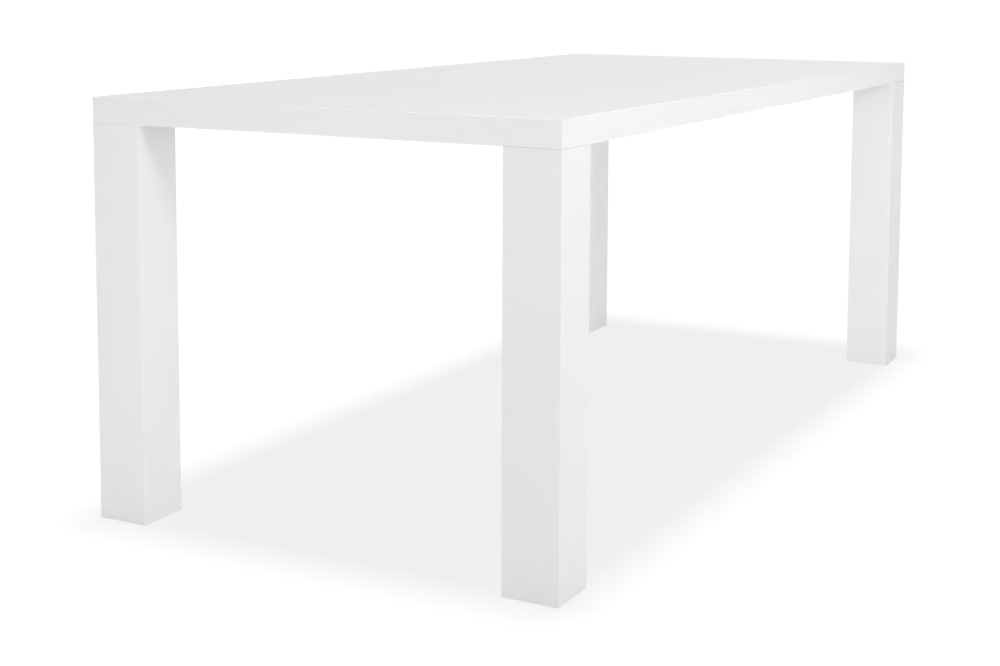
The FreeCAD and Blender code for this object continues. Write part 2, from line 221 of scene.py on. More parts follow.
def volume_of(piece):
    """The volume that a closed mesh holds: the sum of the signed tetrahedra from the origin to
    its triangles. It is positive only if the faces point outwards."""
    mesh = piece.data
    mesh.calc_loop_triangles()
    corners = np.empty(len(mesh.vertices) * 3)
    mesh.vertices.foreach_get("co", corners)
    triangles = np.empty(len(mesh.loop_triangles) * 3, int)
    mesh.loop_triangles.foreach_get("vertices", triangles)
    a, b, c = np.moveaxis(corners.reshape(-1, 3)[triangles.reshape(-1, 3)], 1, 0)
    return float((a * np.cross(b, c)).sum() / 6)


def open_edges(piece):
    """How many edges don't have exactly two faces. A closed piece has none."""
    mesh = piece.data
    edges = np.empty(len(mesh.loops), int)
    mesh.loops.foreach_get("edge_index", edges)
    return int((np.bincount(edges, minlength=len(mesh.edges)) != 2).sum())


# %% [markdown]
# ## The film on the slab
#
# The coat runs over the top, down the four edges and round to the underside, where it thins to a
# dry overspray. The lower skin is open over each corner plate, so the film turns into four shallow
# pockets there, and each steel plate lies flush in its pocket. The film is one closed surface and
# stands for the two skins and the four edge rails.
#
# The underside is a flat face with four holes, which no grid fits. It is divided into triangles
# between its outer ring and the pockets' outlines.

# %% Profile of the slab's edge
top_arc = quarter(SLAB_ARRIS_RADIUS, SLAB_ARRIS_RADIUS, slab_top - SLAB_ARRIS_RADIUS, 90, 0)
low_arc = quarter(SLAB_ARRIS_RADIUS, SLAB_ARRIS_RADIUS, slab_under + SLAB_ARRIS_RADIUS, 0, -90)
hold = SLAB_ARRIS_RADIUS + HOLD_WIDTH
edge_insets = np.concatenate([
    [hold], top_arc[0], [0.0, 0.0], low_arc[0], [hold, DRY_BAND],
])
edge_heights = np.concatenate([
    [slab_top], top_arc[1],
    [slab_top - hold, slab_under + hold],
    low_arc[1], [slab_under, slab_under],
])
on_arc = np.sin(np.linspace(0, math.pi, ARC_STEPS + 1))
edge_arris = np.concatenate([[0.0], on_arc, [0.0, 0.0], on_arc, [0.0, 0.0]])
edge_dry = np.clip((edge_insets - SLAB_ARRIS_RADIUS) / (DRY_BAND - SLAB_ARRIS_RADIUS), 0, 1)
edge_dry *= edge_heights < slab_under + SLAB_ARRIS_RADIUS
print("profile rings:", len(edge_insets))

# %% Outline of a plate's pocket
PLATE_CUT = 0.030               # the plate's inner corner is cut off by this much
PLATE_ROUND = 0.005             # radius of the plate's corners
PLATE_GAP = 0.0005              # between a plate and its pocket
CORNERS = {
    "front_left": (-1, -1), "front_right": (1, -1), "back_right": (1, 1), "back_left": (-1, 1),
}


def pocket_corners(place, side_x, side_y):
    """The pocket's five corners: the plate's box grown by the gap, with the corner that points
    at the middle of the table cut off. Growing the cut side by the gap too shortens the cut."""
    plate_low, plate_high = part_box(f"corner_plate_{place}")
    inner_x, outer_x = sorted((plate_low.x, plate_high.x), key=abs)
    inner_y, outer_y = sorted((plate_low.y, plate_high.y), key=abs)
    inner_x, outer_x = inner_x - side_x * PLATE_GAP, outer_x + side_x * PLATE_GAP
    inner_y, outer_y = inner_y - side_y * PLATE_GAP, outer_y + side_y * PLATE_GAP
    cut = PLATE_CUT + PLATE_GAP * (2 - math.sqrt(2))
    ring = [
        (outer_x, outer_y), (inner_x, outer_y), (inner_x, inner_y + side_y * cut),
        (inner_x + side_x * cut, inner_y), (outer_x, inner_y),
    ]
    return ring if side_x * side_y > 0 else ring[::-1]


# %% Build the slab's film
def slab_film():
    """The edge grid, a flat cap above, triangles below between the last ring and the pockets,
    and in each pocket a wall up to the core and a flat ceiling."""
    outline = [(low[0], low[1]), (high[0], low[1]), (high[0], high[1]), (low[0], high[1])]
    edge = outline_rings(outline, SLAB_CORNER_RADIUS, edge_insets, edge_heights)
    rings, stations = edge.shape[:2]
    points = [edge.reshape(-1, 3)]
    arris, dry = [np.repeat(edge_arris, stations)], [np.repeat(edge_dry, stations)]
    faces = grid_faces(rings, stations) + [list(range(stations))]
    count = rings * stations
    loops = [list(range(count - stations, count))]
    for place, (side_x, side_y) in CORNERS.items():
        pocket = outline_rings(
            pocket_corners(place, side_x, side_y), PLATE_ROUND + PLATE_GAP,
            [0.0, 0.0], [slab_under, core_under],
        )
        size = pocket.shape[1]
        points.append(pocket.reshape(-1, 3))
        arris.append(np.zeros(2 * size))
        dry.append(np.ones(2 * size))
        loops.append(list(range(count, count + size)))
        faces += grid_faces(2, size, count)
        faces.append(list(range(count + 2 * size - 1, count + size - 1, -1)))
        count += 2 * size
    points = np.concatenate(points)
    flat_index = [index for loop in loops for index in loop]
    filling = tessellate_polygon([[Vector(points[index]) for index in loop] for loop in loops])
    for triangle in filling:
        a, b, c = (flat_index[index] for index in triangle)
        rises = np.cross(points[b] - points[a], points[c] - points[a])[2] > 0
        faces.append([a, c, b] if rises else [a, b, c])
    masks = {"arris": np.concatenate(arris), "dry": np.concatenate(dry)}
    return new_piece("slab_film", points, faces, masks)


slab = slab_film()
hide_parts("top_skin_upper", "top_skin_lower", "edge_rail_front", "edge_rail_back",
            "edge_rail_left", "edge_rail_right")
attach(slab, "root")
print("slab film:", len(slab.data.polygons), "faces,", open_edges(slab), "open edges,",
      round(volume_of(slab) * 1000, 2), "litres")

# %% [markdown]
# ## The film on a leg
#
# A leg is a hollow square column of four mitred boards. Its film runs down the four outer faces,
# round the eased arris at each end, over the boards' end grain and, as a thin dry dusting, up the
# inner faces. The profile is therefore a loop, and the loop carried round the square closes on
# itself like a ring: no cap is needed, and the blocks in the leg's head and foot stay in view from
# below. One function makes all four, because they differ only in where they stand.

# %% Build the four legs' films
LEG_CORNER_RADIUS = 0.0015      # a leg's four upright corners
LEG_END_RADIUS = 0.001          # its arrises at head and foot
FACE_STEPS = 6                  # rings down a leg's long faces
END_DRY = 0.5                   # the end grain is half wet, half dry


def leg_box(place):
    """The box round a leg's four boards."""
    boxes = [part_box(name) for name in leg_boards(place)]
    return np.min([box[0] for box in boxes], axis=0), np.max([box[1] for box in boxes], axis=0)


def leg_boards(place):
    return [f"leg_{place}_board_{side}" for side in ("right", "back", "left", "front")]


def leg_film(place):
    """The profile: outer face, lower arris, lower end, inner face, upper end, upper arris."""
    leg_low, leg_high = leg_box(place)
    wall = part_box(f"leg_{place}_head_block")[0].x - leg_low[0]
    end_hold = LEG_END_RADIUS + HOLD_WIDTH
    foot, head = leg_low[2], leg_high[2]
    low_turn = quarter(LEG_END_RADIUS, LEG_END_RADIUS, foot + LEG_END_RADIUS, 0, -90)
    top_turn = quarter(LEG_END_RADIUS, LEG_END_RADIUS, head - LEG_END_RADIUS, 90, 0)
    down = np.linspace(head - end_hold, foot + end_hold, FACE_STEPS)
    back_up = np.linspace(foot, head, FACE_STEPS)
    face, turn = np.zeros(FACE_STEPS), np.zeros(ARC_STEPS + 1)
    insets = np.concatenate([face, low_turn[0], [end_hold], face + wall, [end_hold], top_turn[0]])
    heights = np.concatenate([down, low_turn[1], [foot], back_up, [head], top_turn[1]])
    arris = np.concatenate([face, on_arc, [0], face, [0], on_arc])
    dry = np.concatenate([face, turn, [END_DRY], face + 1, [END_DRY], turn])
    outline = [(leg_low[0], leg_low[1]), (leg_high[0], leg_low[1]),
               (leg_high[0], leg_high[1]), (leg_low[0], leg_high[1])]
    grid = outline_rings(outline, LEG_CORNER_RADIUS, insets, heights)
    rings, stations = grid.shape[:2]
    masks = {"arris": np.repeat(arris, stations), "dry": np.repeat(dry, stations)}
    faces = grid_faces(rings, stations, closed=True)
    return new_piece(f"leg_{place}_film", grid.reshape(-1, 3), faces, masks)


legs = {}
for place in CORNERS:
    legs[place] = leg_film(place)
    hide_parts(*leg_boards(place))
    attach(legs[place], "root")
    print(legs[place].name, len(legs[place].data.polygons), "faces,",
          open_edges(legs[place]), "open edges,", round(volume_of(legs[place]) * 1000, 3), "litres")

# %% [markdown]
# ## How a finish is put together
#
# Every finish below is a small net of shader nodes. Noise gives it the unevenness that a real
# surface has, at the size that it really has it: a lacquer's orange peel is a millimetre or two
# across, the rings of pine are three, and the fibres in board are shorter than one.
#
# Effects that several finishes share are node groups, built once. A group only works out colours,
# roughness and normals, and each material keeps its own shader. All patterns read Object
# coordinates, which are metres, so a size in the code is a size on the table.

# %% Small helpers for nodes
FLOAT, VECTOR, COLOUR = "NodeSocketFloat", "NodeSocketVector", "NodeSocketColor"
MOST_NOISE = (0.3, 0.7)         # nearly all of a noise lies between these values


def add(tree, kind, inputs=None, **settings):
    """A node with its settings, and with values or other nodes' outputs on its inputs."""
    node = tree.nodes.new(kind)
    for name, value in settings.items():
        setattr(node, name, value)
    for name, value in (inputs or {}).items():
        if isinstance(value, bpy.types.NodeSocket):
            tree.links.new(value, node.inputs[name])
        else:
            node.inputs[name].default_value = value
    return node


def work(tree, operation, *values, clamp=False):
    """One sum on plain numbers or sockets, such as MULTIPLY."""
    return add(tree, "ShaderNodeMath", dict(enumerate(values)), operation=operation,
               use_clamp=clamp).outputs[0]


def blend(tree, share, first, second, way="MIX"):
    """Two colours mixed by a share. Sockets 0, 6, 7 and output 2 are the colour ones."""
    return add(tree, "ShaderNodeMix", {0: share, 6: first, 7: second}, data_type="RGBA",
               blend_type=way).outputs[2]


def ramp(tree, value, start, end, first=0.0, last=1.0):
    """A value that goes smoothly from first to last as the input goes from start to end."""
    return add(tree, "ShaderNodeMapRange", {0: value, 1: start, 2: end, 3: first, 4: last},
               interpolation_type="SMOOTHSTEP").outputs[0]


def noise(tree, place, size, detail=2.0):
    """Noise whose lumps are about one size across, from 0 to 1 about a middle of 0.5."""
    inputs = {"Vector": place, "Scale": work(tree, "DIVIDE", 1.0, size), "Detail": detail}
    return add(tree, "ShaderNodeTexNoise", inputs).outputs[0]


def stretched(tree, place, scale, turn=0.0):
    """The coordinates turned about Z, then scaled, so that a pattern runs one way."""
    turned = add(tree, "ShaderNodeVectorRotate", {"Vector": place, "Angle": turn},
                 rotation_type="Z_AXIS").outputs[0]
    return add(tree, "ShaderNodeVectorMath", {0: turned, 1: scale}, operation="MULTIPLY").outputs[0]


def bump(tree, height, depth, normal=None):
    """The normal that a relief of this depth in metres gives, on top of another normal."""
    inputs = {"Height": height, "Distance": depth, "Strength": 1.0}
    if normal is not None:
        inputs["Normal"] = normal
    return add(tree, "ShaderNodeBump", inputs).outputs[0]


def new_group(name, inputs, outputs):
    """A node group with named sockets: inputs as (name, kind, value), outputs as (name, kind)."""
    tree = bpy.data.node_groups.new(name, "ShaderNodeTree")
    for label, kind, value in inputs:
        socket = tree.interface.new_socket(label, in_out="INPUT", socket_type=kind)
        if value is not None:
            socket.default_value = value
    for label, kind in outputs:
        tree.interface.new_socket(label, in_out="OUTPUT", socket_type=kind)
    return tree, tree.nodes.new("NodeGroupInput").outputs, tree.nodes.new("NodeGroupOutput").inputs


def send(tree, results, **values):
    """Joins values to the group's outputs."""
    for label, value in values.items():
        tree.links.new(value, results[label])


def use(tree, group, **inputs):
    """The group placed in a tree. Underscores in an input's name stand for spaces."""
    named = {label.replace("_", " "): value for label, value in inputs.items()}
    return add(tree, "ShaderNodeGroup", named, node_tree=group)


def grey(level, warmth=0.0):
    """A colour of one level, a little warmer or cooler."""
    return (level * (1 + warmth), level, level * (1 - warmth), 1.0)


# %% [markdown]
# ## Rub marks
#
# A surface that is wiped and handled gets hairlines, too fine to see until light grazes them.
# They run mostly one way, since people wipe along the length. Two noises, each stretched to dozens
# of times its width and set at different angles, and cut off near their peaks, leave thin separate
# strokes. The group gives only their mask.

# %% Group: rub marks
STROKE_ANGLES = (math.radians(7), math.radians(-19))
STROKE_CUT = (0.66, 0.74)       # a stroke comes in between these values of the noise


def rub_marks_group():
    tree, given, results = new_group(
        "rub marks",
        [("Place", VECTOR, None), ("Width", FLOAT, 0.0006), ("Length", FLOAT, 0.03)],
        [("Mask", FLOAT)],
    )
    across = work(tree, "DIVIDE", 1.0, given["Width"])
    along = work(tree, "DIVIDE", 1.0, given["Length"])
    scale = add(tree, "ShaderNodeCombineXYZ", {0: along, 1: across, 2: across}).outputs[0]
    strokes = []
    for angle in STROKE_ANGLES:
        strand = add(tree, "ShaderNodeTexNoise",
                     {"Vector": stretched(tree, given["Place"], scale, angle), "Scale": 1.0,
                      "Detail": 1.0}).outputs[0]
        strokes.append(ramp(tree, strand, *STROKE_CUT))
    send(tree, results, Mask=work(tree, "MAXIMUM", *strokes))
    return tree


rub_marks = rub_marks_group()
print("group:", rub_marks.name, len(rub_marks.nodes), "nodes")

# %% [markdown]
# ## Sprayed lacquer
#
# A gloss coat is never quite flat. Wet lacquer pulls into orange peel, cells of a millimetre or
# two and about a micrometre deep, over a long swell that the sanded board leaves. Reflections show
# both, and plain shading shows neither, which is why they belong in the normal. Along the arrises
# the paint is made a little lighter, as a painted highlight. The underside only gets dry overspray:
# dull, gritty and a shade darker. The film's own masks, arris and dry, say where.

# %% Group: sprayed film
SWELL_SIZE = 0.06
GRIT_SIZE, GRIT_DEPTH = 0.0004, 0.00003         # grains of dry overspray
PATCH_SIZE, PATCH_SHADE = 0.35, 0.99            # slow patches, a hundredth darker
ARRIS_PAINTED_HIGHLIGHT = 0.03            # painted highlight: what is added to the paint's level on an arris
DRY_SHADE = 0.93                # what is left of the paint's level where the spray is dry
MARK_ROUGHER = 0.03             # what a rub mark adds to the roughness


def sprayed_film_group():
    tree, given, results = new_group(
        "sprayed film",
        [("Place", VECTOR, None), ("Paint", COLOUR, grey(0.8)), ("Arris", FLOAT, 0.0),
         ("Dry", FLOAT, 0.0), ("Peel Size", FLOAT, 0.002), ("Peel Depth", FLOAT, 0.000001),
         ("Swell Depth", FLOAT, 0.00001), ("Gloss", FLOAT, 0.08), ("Dull", FLOAT, 0.45)],
        [("Colour", COLOUR), ("Roughness", FLOAT), ("Normal", VECTOR)],
    )
    place, dry = given["Place"], given["Dry"]
    wet = work(tree, "SUBTRACT", 1.0, dry, clamp=True)
    swell = noise(tree, place, SWELL_SIZE, detail=1.0)
    peel = noise(tree, place, given["Peel Size"], detail=1.0)
    grit = noise(tree, place, GRIT_SIZE, detail=3.0)
    relief = bump(tree, swell, work(tree, "MULTIPLY", given["Swell Depth"], wet))
    relief = bump(tree, peel, work(tree, "MULTIPLY", given["Peel Depth"], wet), relief)
    relief = bump(tree, grit, work(tree, "MULTIPLY", GRIT_DEPTH, dry), relief)
    patches = ramp(tree, noise(tree, place, PATCH_SIZE), *MOST_NOISE, PATCH_SHADE, 1.0)
    # painted highlight: the paint's level is raised along each arris
    arris_highlight = work(tree, "MULTIPLY_ADD", ARRIS_PAINTED_HIGHLIGHT, given["Arris"], 1.0)
    dusty = ramp(tree, dry, 0.0, 1.0, 1.0, DRY_SHADE)
    shade = work(tree, "MULTIPLY", work(tree, "MULTIPLY", patches, arris_highlight), dusty)
    level = add(tree, "ShaderNodeCombineColor", {0: shade, 1: shade, 2: shade}).outputs[0]
    marks = use(tree, rub_marks, Place=place).outputs["Mask"]
    film = work(tree, "ADD", given["Gloss"], work(tree, "MULTIPLY", MARK_ROUGHER, marks))
    rough = add(tree, "ShaderNodeMix", {0: dry, 2: film, 3: given["Dull"]}).outputs[0]
    send(tree, results, Colour=blend(tree, 1.0, given["Paint"], level, "MULTIPLY"),
         Roughness=rough, Normal=relief)
    return tree


sprayed_film = sprayed_film_group()
print("group:", sprayed_film.name, len(sprayed_film.nodes), "nodes")


# %% Start a finish
def new_finish(name):
    """A material's tree, its shader and its Object coordinates."""
    material = bpy.data.materials.new(name)
    material.use_nodes = True
    tree = material.node_tree
    place = tree.nodes.new("ShaderNodeTexCoord").outputs["Object"]
    return material, tree, tree.nodes["Principled BSDF"], place


def join(tree, shader, made):
    """Joins a group's colour, roughness and normal to the shader."""
    sockets = {"Colour": "Base Color", "Roughness": "Roughness", "Normal": "Normal"}
    for label, socket in sockets.items():
        tree.links.new(made.outputs[label], shader.inputs[socket])


# %% Lacquer of the slab and of the legs
PAINT = 0.84                    # share of light that the white paint gives back
GLOSS_INDEX = 1.5               # refractive index of the clear resin


def lacquer(name, peel_size, swell_depth):
    """The sprayed film. Its mesh's masks say where an arris gets a painted highlight and where it
    is dry.
    """
    material, tree, shader, place = new_finish(name)
    masks = {
        label: add(tree, "ShaderNodeAttribute", attribute_name=label).outputs["Fac"]
        for label in ("arris", "dry")
    }
    made = use(tree, sprayed_film, Place=place, Paint=grey(PAINT), Arris=masks["arris"],
               Dry=masks["dry"], Peel_Size=peel_size, Swell_Depth=swell_depth)
    join(tree, shader, made)
    shader.inputs["IOR"].default_value = GLOSS_INDEX
    return material


slab_lacquer = lacquer("white gloss lacquer, slab", peel_size=0.0024, swell_depth=0.000006)
leg_lacquer = lacquer("white gloss lacquer, legs", peel_size=0.0018, swell_depth=0.000010)
slab.data.materials.append(slab_lacquer)
for film in legs.values():
    film.data.materials.append(leg_lacquer)
print("lacquers:", slab_lacquer.name, "and", leg_lacquer.name)

# %% [markdown]
# ## Timber
#
# Pine and beech are told apart by their rings. The trunk's axis lies along X, and a ring is a
# shell of one year's growth round it: pale early wood, then a dark edge of late wood. The distance
# from the axis, divided by the ring's width, climbs by one each year, and what is left after the
# whole years says how far through the year a point lies. A noise that is long along the trunk
# makes the rings wander, and a much finer one gives the fibres.

# %% Group: timber
DRIFT_STRETCH, DRIFT_SIZE = (0.15, 1.0, 1.0), 0.02      # along X, Y and Z
FIBRE_STRETCH, FIBRE_SIZE = (0.02, 1.0, 1.0), 0.0005
LATE_POWER = 3.0                # the higher, the later in the year the wood darkens
LATE_SHARE, FIBRE_SHARE = 0.75, 0.35            # what each adds to the dark
PLANED_ROUGH = (0.55, 0.75)


def timber_group():
    tree, given, results = new_group(
        "timber",
        [("Place", VECTOR, None), ("Early Wood", COLOUR, grey(0.6)),
         ("Late Wood", COLOUR, grey(0.3)), ("Ring Width", FLOAT, 0.003), ("Wander", FLOAT, 0.004),
         ("Fibre Depth", FLOAT, 0.00004)],
        [("Colour", COLOUR), ("Roughness", FLOAT), ("Normal", VECTOR)],
    )
    place = given["Place"]
    drift = noise(tree, stretched(tree, place, DRIFT_STRETCH), DRIFT_SIZE)
    end = add(tree, "ShaderNodeVectorMath", {0: place, 1: (0.0, 1.0, 1.0)},
              operation="MULTIPLY").outputs[0]
    radius = add(tree, "ShaderNodeVectorMath", {0: end}, operation="LENGTH").outputs["Value"]
    wandering = work(tree, "MULTIPLY_ADD", drift, given["Wander"], radius)
    year = work(tree, "FRACT", work(tree, "DIVIDE", wandering, given["Ring Width"]))
    late = work(tree, "MULTIPLY", work(tree, "POWER", year, LATE_POWER), LATE_SHARE)
    fibre = noise(tree, stretched(tree, place, FIBRE_STRETCH), FIBRE_SIZE, detail=3.0)
    dark = work(tree, "MULTIPLY_ADD", fibre, FIBRE_SHARE, late, clamp=True)
    rough = ramp(tree, fibre, *MOST_NOISE, *PLANED_ROUGH)
    send(tree, results, Colour=blend(tree, dark, given["Early Wood"], given["Late Wood"]),
         Roughness=rough, Normal=bump(tree, fibre, given["Fibre Depth"]))
    return tree


timber = timber_group()
print("group:", timber.name, len(timber.nodes), "nodes")


# %% Pine blocks and beech dowels
def wood(name, early, late, ring_width, wander, pith):
    """Timber cut from a trunk whose pith runs along X through a given point."""
    material, tree, shader, place = new_finish(name)
    from_pith = add(tree, "ShaderNodeVectorMath", {0: place, 1: pith},
                    operation="SUBTRACT").outputs[0]
    made = use(tree, timber, Place=from_pith, Early_Wood=early, Late_Wood=late,
               Ring_Width=ring_width, Wander=wander)
    join(tree, shader, made)
    shader.inputs["Specular IOR Level"].default_value = 0.3
    return material


pine = wood("planed pine", early=(0.62, 0.42, 0.22, 1), late=(0.38, 0.20, 0.08, 1),
            ring_width=0.0032, wander=0.012, pith=(0, 0.31, -0.04))
beech = wood("turned beech", early=(0.55, 0.34, 0.20, 1), late=(0.42, 0.23, 0.12, 1),
             ring_width=0.0016, wander=0.004, pith=(0, 0.1, 0.6))
print("woods:", pine.name, "and", beech.name)

# %% [markdown]
# ## Pressed fibre
#
# MDF is wood ground to fluff and pressed with resin, and honeycomb is folded kraft paper. Both are
# brown felt at heart: no grain, only short flecks lying every way. Two noises, each stretched and
# laid across the other, are multiplied and leave light and dark flecks, and a slow one mottles
# them. The ribs inside the slab, and the honeycomb beside them, differ only in colour and in how
# coarse the flecks are.

# %% Group: pressed fibre
FLECK_WAYS = (((1.0, 0.25, 1.0), 0.6), ((0.25, 1.0, 1.0), -0.3))       # stretch, turn in radians
FLECK_CUT = (0.16, 0.36)        # the felt turns from ground to fleck between these values
MOTTLE_SIZE, MOTTLE_SHARE = 0.05, 0.25
FELT_RANGE, FELT_ROUGH = (0.1, 0.4), (0.7, 0.9)


def pressed_fibre_group():
    tree, given, results = new_group(
        "pressed fibre",
        [("Place", VECTOR, None), ("Ground", COLOUR, grey(0.4)), ("Fleck", COLOUR, grey(0.2)),
         ("Fleck Size", FLOAT, 0.0008), ("Nap", FLOAT, 0.00003)],
        [("Colour", COLOUR), ("Roughness", FLOAT), ("Normal", VECTOR)],
    )
    place = given["Place"]
    lying, crossing = (
        noise(tree, stretched(tree, place, scale, turn), given["Fleck Size"], detail=3.0)
        for scale, turn in FLECK_WAYS
    )
    felt = work(tree, "MULTIPLY", lying, crossing)
    flecks = ramp(tree, felt, *FLECK_CUT)
    mottle = ramp(tree, noise(tree, place, MOTTLE_SIZE), *MOST_NOISE, 0.0, MOTTLE_SHARE)
    share = work(tree, "MAXIMUM", flecks, mottle)
    send(tree, results, Colour=blend(tree, share, given["Ground"], given["Fleck"]),
         Roughness=ramp(tree, felt, *FELT_RANGE, *FELT_ROUGH),
         Normal=bump(tree, felt, given["Nap"]))
    return tree


pressed_fibre = pressed_fibre_group()
print("group:", pressed_fibre.name, len(pressed_fibre.nodes), "nodes")


# %% Raw board and honeycomb paper
def felted(name, ground, fleck, fleck_size):
    material, tree, shader, place = new_finish(name)
    join(tree, shader, use(tree, pressed_fibre, Place=place, Ground=ground, Fleck=fleck,
                           Fleck_Size=fleck_size))
    shader.inputs["Specular IOR Level"].default_value = 0.2
    return material


board = felted("raw fibreboard", ground=(0.34, 0.23, 0.13, 1), fleck=(0.24, 0.15, 0.08, 1),
               fleck_size=0.0009)
paper = felted("kraft honeycomb", ground=(0.42, 0.29, 0.16, 1), fleck=(0.31, 0.20, 0.10, 1),
               fleck_size=0.0015)
print("fibre:", board.name, "and", paper.name)

# %% [markdown]
# ## Plated steel
#
# The plates, bolts, washers, inserts and screws are all steel, and most carry a thin coat of zinc.
# Zinc comes out of its bath in soft clouds of light and dark a centimetre across, passivated to a
# faint blue or straw, and the rolling or turning of the steel still shows as fine lines under it.
# Metal has no colour of its own but its reflection's tint, so the clouds go to both tint and
# roughness.

# %% Group: plated steel
CLOUD_CUT = (0.35, 0.65)        # a cloud comes in between these values of the noise
LINE_STRETCH, LINE_SIZE = (0.03, 1.0, 1.0), 0.0003
RUBBED_SMOOTHER = -0.08         # what a rub mark adds to the roughness


def plated_steel_group():
    tree, given, results = new_group(
        "plated steel",
        [("Place", VECTOR, None), ("Bright", COLOUR, grey(0.6)), ("Clouded", COLOUR, grey(0.5)),
         ("Cloud Size", FLOAT, 0.01), ("Smooth", FLOAT, 0.25), ("Cloudy", FLOAT, 0.45),
         ("Line Depth", FLOAT, 0.000004)],
        [("Colour", COLOUR), ("Roughness", FLOAT), ("Normal", VECTOR)],
    )
    place = given["Place"]
    cloud = ramp(tree, noise(tree, place, given["Cloud Size"], detail=3.0), *CLOUD_CUT)
    lines = noise(tree, stretched(tree, place, LINE_STRETCH), LINE_SIZE)
    marks = use(tree, rub_marks, Place=place, Width=0.0002, Length=0.006).outputs["Mask"]
    rough = add(tree, "ShaderNodeMix",
                {0: cloud, 2: given["Smooth"], 3: given["Cloudy"]}).outputs[0]
    worn = work(tree, "MULTIPLY_ADD", marks, RUBBED_SMOOTHER, rough)
    send(tree, results, Colour=blend(tree, cloud, given["Bright"], given["Clouded"]),
         Roughness=worn, Normal=bump(tree, lines, given["Line Depth"]))
    return tree


plated_steel = plated_steel_group()
print("group:", plated_steel.name, len(plated_steel.nodes), "nodes")


# %% Four steels
def steel(name, bright, clouded, cloud_size, smooth, cloudy):
    material, tree, shader, place = new_finish(name)
    join(tree, shader, use(tree, plated_steel, Place=place, Bright=bright, Clouded=clouded,
                           Cloud_Size=cloud_size, Smooth=smooth, Cloudy=cloudy))
    shader.inputs["Metallic"].default_value = 1.0
    return material


plate_zinc = steel("zinc plate", bright=(0.62, 0.63, 0.64, 1), clouded=(0.50, 0.51, 0.50, 1),
                   cloud_size=0.012, smooth=0.28, cloudy=0.48)
bolt_zinc = steel("bright zinc bolts", bright=(0.68, 0.70, 0.73, 1),
                  clouded=(0.58, 0.60, 0.62, 1), cloud_size=0.003, smooth=0.16, cloudy=0.30)
insert_steel = steel("straw passivated inserts", bright=(0.66, 0.58, 0.36, 1),
                     clouded=(0.52, 0.42, 0.24, 1), cloud_size=0.004, smooth=0.22, cloudy=0.40)
screw_steel = steel("screw steel", bright=(0.60, 0.60, 0.61, 1), clouded=(0.45, 0.45, 0.46, 1),
                    cloud_size=0.002, smooth=0.20, cloudy=0.36)
steels = (plate_zinc, bolt_zinc, insert_steel, screw_steel)
print("steels:", ", ".join(material.name for material in steels))

# %% [markdown]
# ## Moulded nylon
#
# The glides are pressed from white nylon in a spark-eroded mould, which leaves an even satin
# grain. Their soles are rubbed by the floor. Nylon lets a little light in, so it looks softer
# than paint of the same white.

# %% Nylon glides
GRAIN_SIZE, GRAIN_DEPTH, GRAIN_ROUGH = 0.0005, 0.00002, (0.38, 0.50)
CLEAN_NYLON, SCUFFED_NYLON = grey(0.68, 0.02), grey(0.55, 0.03)
SCUFF_SHARE, SCUFF_ROUGHER = 0.4, 0.2           # how far a mark goes to the scuffed look


def moulded_nylon():
    material, tree, shader, place = new_finish("moulded nylon")
    grain = noise(tree, place, GRAIN_SIZE)
    marks = use(tree, rub_marks, Place=place, Width=0.0004, Length=0.008).outputs["Mask"]
    scuffs = work(tree, "MULTIPLY", marks, SCUFF_SHARE)
    colour = blend(tree, scuffs, CLEAN_NYLON, SCUFFED_NYLON)
    satin = ramp(tree, grain, *MOST_NOISE, *GRAIN_ROUGH)
    rough = work(tree, "MULTIPLY_ADD", marks, SCUFF_ROUGHER, satin)
    tree.links.new(colour, shader.inputs["Base Color"])
    tree.links.new(rough, shader.inputs["Roughness"])
    tree.links.new(bump(tree, grain, GRAIN_DEPTH), shader.inputs["Normal"])
    shader.inputs["Subsurface Weight"].default_value = 0.15
    shader.inputs["Subsurface Scale"].default_value = 0.002
    return material


glide_nylon = moulded_nylon()
print("plastic:", glide_nylon.name)

# %% [markdown]
# ## A finish for every solid
#
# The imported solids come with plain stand-in materials named after their slots. Each is swapped
# for the finish of that name. The meshes stay as they are.

# %% Dress the solids
FINISHES = {
    "slab_lacquer": slab_lacquer, "leg_lacquer": leg_lacquer, "raw_mdf": board, "pine": pine,
    "beech": beech, "honeycomb_paper": paper, "plate_zinc": plate_zinc, "bolt_zinc": bolt_zinc,
    "insert_steel": insert_steel, "screw_steel": screw_steel, "glide_nylon": glide_nylon,
}
dressed = {}
for name, node in nodes.items():
    for material_slot in node.material_slots:
        slot_name = material_slot.material.name
        material_slot.material = FINISHES[slot_name]
        dressed.setdefault(slot_name, []).append(name)
for slot_name, names in sorted(dressed.items()):
    print(f"{slot_name}: {len(names)} nodes")

# %% [markdown]
# ## Floor and surroundings
#
# The table stands on a white sweep that runs out of sight, so the picture's ground has no edge.
# Under the table lies the flat, soft shadow of the slab, and nowhere else is there any tone. A
# floor that is only painted white can't do both this and its other work, which is to throw light
# back up at the table. So there are two sheets, one just under the other.
#
# The upper sheet is the one to look at, straight or in a reflection. It is a plain glow, a little
# under white, and a thin coat of paint that one high lamp of its own lights. Together they are a
# little over 1, and where the table stands in that lamp's way, the glow alone is left. Away from
# the table the glow rises, because the lamp's light falls off there.
#
# The lower sheet is what the table is lit by: a pale lit panel, with a glow of its own and with
# paint that returns what the other lamps send down. That is why the legs' inner sides are nearly
# as bright as their outer ones.

# %% Floor
FLOOR_REACH = 60.0              # half a sheet's side
SHADOW_LEVEL = 0.844            # glow of the upper sheet near the table, so the shadow's own level
GLOW_AWAY = 1.03                # its glow away from the table
GLOW_RISES = (0.35, 6.0)        # the glow rises between these distances from the table
THIN_PAINT = 0.05               # the upper sheet's coat
FLOOR_PAINT, FLOOR_LIGHT = 0.7, 0.435           # what the lower sheet returns, and its own glow
SHEET_GAP = 0.001               # the lower sheet lies this far under the upper one


